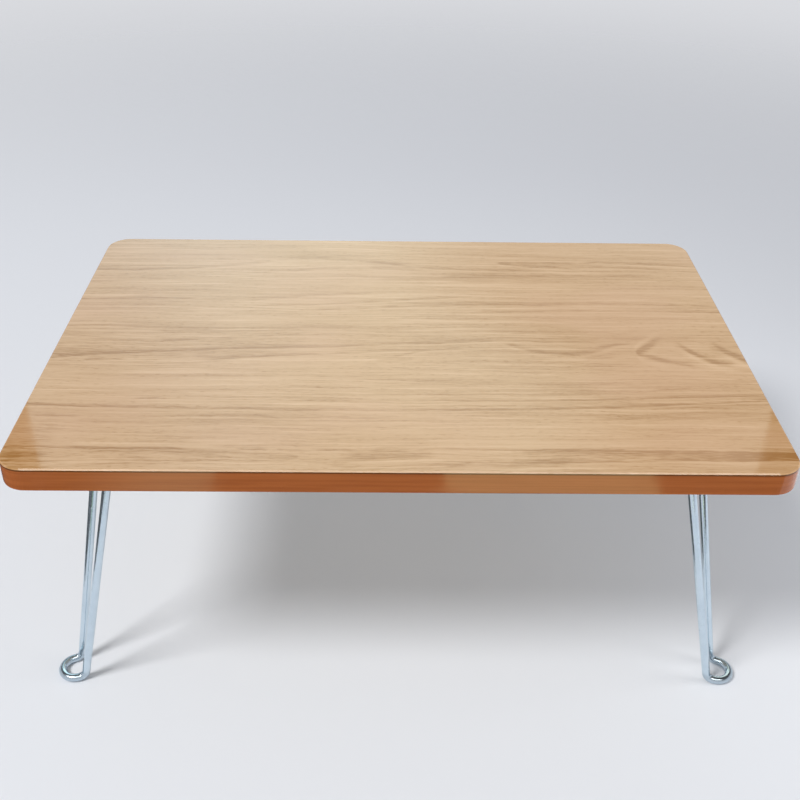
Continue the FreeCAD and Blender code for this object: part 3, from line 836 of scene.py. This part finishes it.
def finish_nodes():
    """Give every CAD node its own finish."""
    finishes = {
        "top_sheet": oak_laminate(),
        "edge_band": brown_edge_band(),
        "core_board": fibreboard(),
        "underside_sheet": backing_sheet(),
    }
    leg = plated_steel(
        "plated_wire", CHROME_BRIGHT, CHROME_DULL, LEG_ROUGHNESS, LEG_RELIEF, LEG_PATTERN_SCALE, FOOT_HEIGHT
    )
    bracket = plated_steel(
        "zinc_bracket", ZINC_BRIGHT, ZINC_DULL, BRACKET_ROUGHNESS, BRACKET_RELIEF, BRACKET_PATTERN_SCALE
    )
    screw = plated_steel(
        "zinc_screw", ZINC_BRIGHT, ZINC_DULL, SCREW_ROUGHNESS, SCREW_RELIEF, SCREW_PATTERN_SCALE
    )
    cap = cap_nylon()
    for corner in CORNERS:
        finishes[corner + "_leg"] = leg
        finishes[corner + "_bracket"] = bracket
        finishes[corner + "_screws"] = screw
        finishes[corner + "_pivot_caps"] = cap
    for name, material in finishes.items():
        slots = NODES[name].data.materials
        slots.clear()
        slots.append(material)


# The set: floor, boards, room, lamps and camera

def add_mesh(name, shape, material):
    mesh = bpy.data.meshes.new(name)
    shape.to_mesh(mesh)
    shape.free()
    mesh.materials.append(material)
    piece = bpy.data.objects.new(name, mesh)
    bpy.context.scene.collection.objects.link(piece)
    return piece


def floor_finish():
    """Pale matt floor, with painted shade darker towards the back right, that fades into the room far from
    the desk and is clear from below.
    """
    material, tree, shader = new_material("pale_floor")
    place = object_place(tree)
    x, y, _ = split(tree, place)
    # Painted shade: the floor colour darkens towards the back right, where less light falls
    away = calc(tree, "MULTIPLY_ADD", x, FLOOR_SHADE_LEAN, y)
    colour = blend_colours(tree, ramp(tree, away, 0.0, FLOOR_SHADE_REACH), FLOOR_COLOUR, FLOOR_BACK_SHADE)
    cloud = noise(tree, place, FLOOR_CLOUD_CELLS, detail=1)
    clouded = ramp(tree, cloud, *FLOOR_CLOUD_RISE, 0.0, FLOOR_CLOUD_SHARE)
    colour = blend_colours(tree, clouded, colour, ROOM_SEEN)
    feed(tree, shader.inputs["Base Color"], colour)
    shader.inputs["Roughness"].default_value = FLOOR_ROUGHNESS
    shader.inputs["Specular IOR Level"].default_value = FLOOR_SPECULAR
    square = calc(tree, "ADD", calc(tree, "MULTIPLY", x, x), calc(tree, "MULTIPLY", y, y))
    solid = ramp(tree, calc(tree, "SQRT", square), FLOOR_RADIUS, FLOOR_FADE_FROM)
    below = tree.nodes.new("ShaderNodeNewGeometry").outputs["Backfacing"]
    above = calc(tree, "SUBTRACT", 1.0, below)
    feed(tree, shader.inputs["Alpha"], calc(tree, "MULTIPLY", solid, above))
    return material


def add_floor():
    shape = bmesh.new()
    bmesh.ops.create_circle(shape, cap_ends=True, radius=FLOOR_RADIUS, segments=FLOOR_SIDES)
    bmesh.ops.recalc_face_normals(shape, faces=shape.faces)
    for face in shape.faces:
        if face.normal.z < 0:
            face.normal_flip()
    add_mesh("floor", shape, floor_finish())


def glow(name, colour, strength):
    """A plain glowing board."""
    material = bpy.data.materials.new(name)
    material.use_nodes = True
    tree = material.node_tree
    tree.nodes.clear()
    light = tree.nodes.new("ShaderNodeEmission")
    light.inputs["Color"].default_value = (*colour, 1)
    light.inputs["Strength"].default_value = strength
    out = tree.nodes.new("ShaderNodeOutputMaterial")
    tree.links.new(light.outputs[0], out.inputs["Surface"])
    return material


def back_board_swell(tree, x, z):
    """The back board's brighter patch, as a factor."""
    across = bell(tree, calc(tree, "DIVIDE", x, SWELL_WIDTH))
    above = calc(tree, "SUBTRACT", z, SWELL_MIDDLE_Z)
    upward = bell(tree, calc(tree, "DIVIDE", above, SWELL_HEIGHT))
    return calc(tree, "MULTIPLY_ADD", calc(tree, "MULTIPLY", across, upward), SWELL_SHARE, 1.0)


def back_board_glow():
    """The tall board glows less towards its sides, and more in a patch above its middle."""
    material = glow("board_white", BACK_LEFT_TINT, 1.0)
    tree = material.node_tree
    light = tree.nodes["Emission"]
    x, _, z = split(tree, object_place(tree))
    slanted = calc(tree, "SUBTRACT", x, ramp(tree, z, *BACK_SLANT_HEIGHTS, *BACK_SLANT))
    right = ramp(tree, slanted, *BACK_RIGHT_X, 1.0, BACK_RIGHT_SHARE)
    left = ramp(tree, x, *BACK_LEFT_X, 1.0, BACK_LEFT_SHARE)
    level = ramp(tree, z, *BACK_HEIGHTS, *BACK_HEIGHT_GLOW)
    level = calc(tree, "MULTIPLY", level, back_board_swell(tree, x, z))
    strength = calc(tree, "MULTIPLY", level, calc(tree, "MULTIPLY", right, left))
    feed(tree, light.inputs["Strength"], strength)
    tint = blend_colours(tree, ramp(tree, x, *BACK_RIGHT_TINT_X), BACK_LEFT_TINT, BACK_RIGHT_TINT)
    tint = blend_colours(tree, ramp(tree, slanted, *BACK_FAR_TINT_X), tint, BACK_FAR_TINT)
    feed(tree, light.inputs["Color"], tint)
    return material


def dim_strip_glow():
    """The small strip at the front left fades out towards its left end."""
    material = glow("board_dim", DIM_COLOUR, 1.0)
    tree = material.node_tree
    x = split(tree, object_place(tree))[0]
    strength = ramp(tree, x, *DIM_FADE_X, FLAG_GLOW, DIM_GLOW)
    feed(tree, tree.nodes["Emission"].inputs["Strength"], strength)
    return material


def add_board(name, place, material):
    """A flat board beside the set that only mirrors in glossy surfaces."""
    (x_from, x_to), first_edge, second_edge = place
    corners = [(x_from, *first_edge), (x_to, *first_edge), (x_to, *second_edge), (x_from, *second_edge)]
    shape = bmesh.new()
    shape.faces.new([shape.verts.new(corner) for corner in corners])
    board = add_mesh(name, shape, material)
    board.visible_camera = False
    board.visible_diffuse = False
    board.visible_transmission = False
    board.visible_volume_scatter = False
    board.visible_shadow = False


def add_boards():
    """A tall white board behind the desk, a soft one above the camera, pale strips and dark flags."""
    dark = glow("board_dark", FLAG_COLOUR, FLAG_GLOW)
    add_board("board_back", BACK_BOARD, back_board_glow())
    add_board("board_above", SOFT_BOARD, glow("board_soft", SOFT_COLOUR, SOFT_GLOW))
    add_board("board_front_right", PALE_STRIP, glow("board_pale", PALE_COLOUR, PALE_GLOW))
    add_board("board_front_left", DIM_STRIP, dim_strip_glow())
    add_board("flag_front", FRONT_FLAG, dark)
    add_board("flag_left", LEFT_FLAG, dark)
    add_board("flag_under", UNDER_FLAG, dark)
    add_board("flag_overhead", OVERHEAD_FLAG, dark)


def add_room():
    """An even room: pale where it is seen or mirrored, and a plain level of light."""
    world = bpy.data.worlds.new("room")
    world.use_nodes = True
    tree = world.node_tree
    tree.nodes.clear()
    lit = tree.nodes.new("ShaderNodeBackground")
    lit.inputs["Color"].default_value = (*ROOM_LIGHT, 1)
    seen = tree.nodes.new("ShaderNodeBackground")
    seen.inputs["Color"].default_value = (*ROOM_SEEN, 1)
    path = tree.nodes.new("ShaderNodeLightPath")
    shown = calc(tree, "ADD", path.outputs["Is Camera Ray"], path.outputs["Is Glossy Ray"])
    shown = calc(tree, "MINIMUM", calc(tree, "ADD", shown, path.outputs["Is Transmission Ray"]), 1.0)
    mixed = tree.nodes.new("ShaderNodeMixShader")
    tree.links.new(shown, mixed.inputs[0])
    tree.links.new(lit.outputs[0], mixed.inputs[1])
    tree.links.new(seen.outputs[0], mixed.inputs[2])
    out = tree.nodes.new("ShaderNodeOutputWorld")
    tree.links.new(mixed.outputs[0], out.inputs["Surface"])
    bpy.context.scene.world = world


def add_lamp(name, place, aim, watts, width):
    """A round soft lamp."""
    data = bpy.data.lights.new(name, "AREA")
    data.shape = "DISK"
    data.size = width
    data.energy = watts
    lamp = bpy.data.objects.new(name, data)
    lamp.location = place
    lamp.rotation_mode = "QUATERNION"
    lamp.rotation_quaternion = (Vector(place) - Vector(aim)).to_track_quat("Z", "Y")
    bpy.context.scene.collection.objects.link(lamp)
    return lamp


def add_lamps():
    """The main lamp, and a low one at the right that no gloss mirrors."""
    key_place = Vector(KEY_DIRECTION) * KEY_DISTANCE
    add_lamp("key_lamp", key_place, KEY_AIM, KEY_WATTS, KEY_WIDTH)
    fill = add_lamp("fill_lamp", FILL_PLACE, FILL_AIM, FILL_WATTS, FILL_WIDTH)
    fill.data.spread = math.radians(FILL_SPREAD)
    fill.visible_glossy = False


def add_camera():
    data = bpy.data.cameras.new("photo_camera")
    data.sensor_width = SENSOR_MM
    data.lens = SENSOR_MM * FOCAL_PIXELS / PHOTO_PIXELS
    camera = bpy.data.objects.new("photo_camera", data)
    pitch = math.radians(CAMERA_PITCH)
    yaw = math.radians(CAMERA_YAW)
    roll = math.radians(CAMERA_ROLL)
    ahead = Vector((math.sin(yaw) * math.cos(pitch), math.cos(yaw) * math.cos(pitch), -math.sin(pitch)))
    level = Vector((math.cos(yaw), -math.sin(yaw), 0))
    upright = level.cross(ahead)
    right = level * math.cos(roll) + upright * math.sin(roll)
    up = upright * math.cos(roll) - level * math.sin(roll)
    turn = Matrix((right, up, -ahead)).transposed().to_4x4()
    camera.matrix_world = Matrix.Translation(CAMERA_PLACE) @ turn
    bpy.context.scene.collection.objects.link(camera)
    bpy.context.scene.camera = camera


finish_nodes()
add_floor()
add_boards()
add_room()
add_lamps()
add_camera()
bpy.context.scene.view_settings.view_transform = "Standard"

bpy.context.view_layer.update()
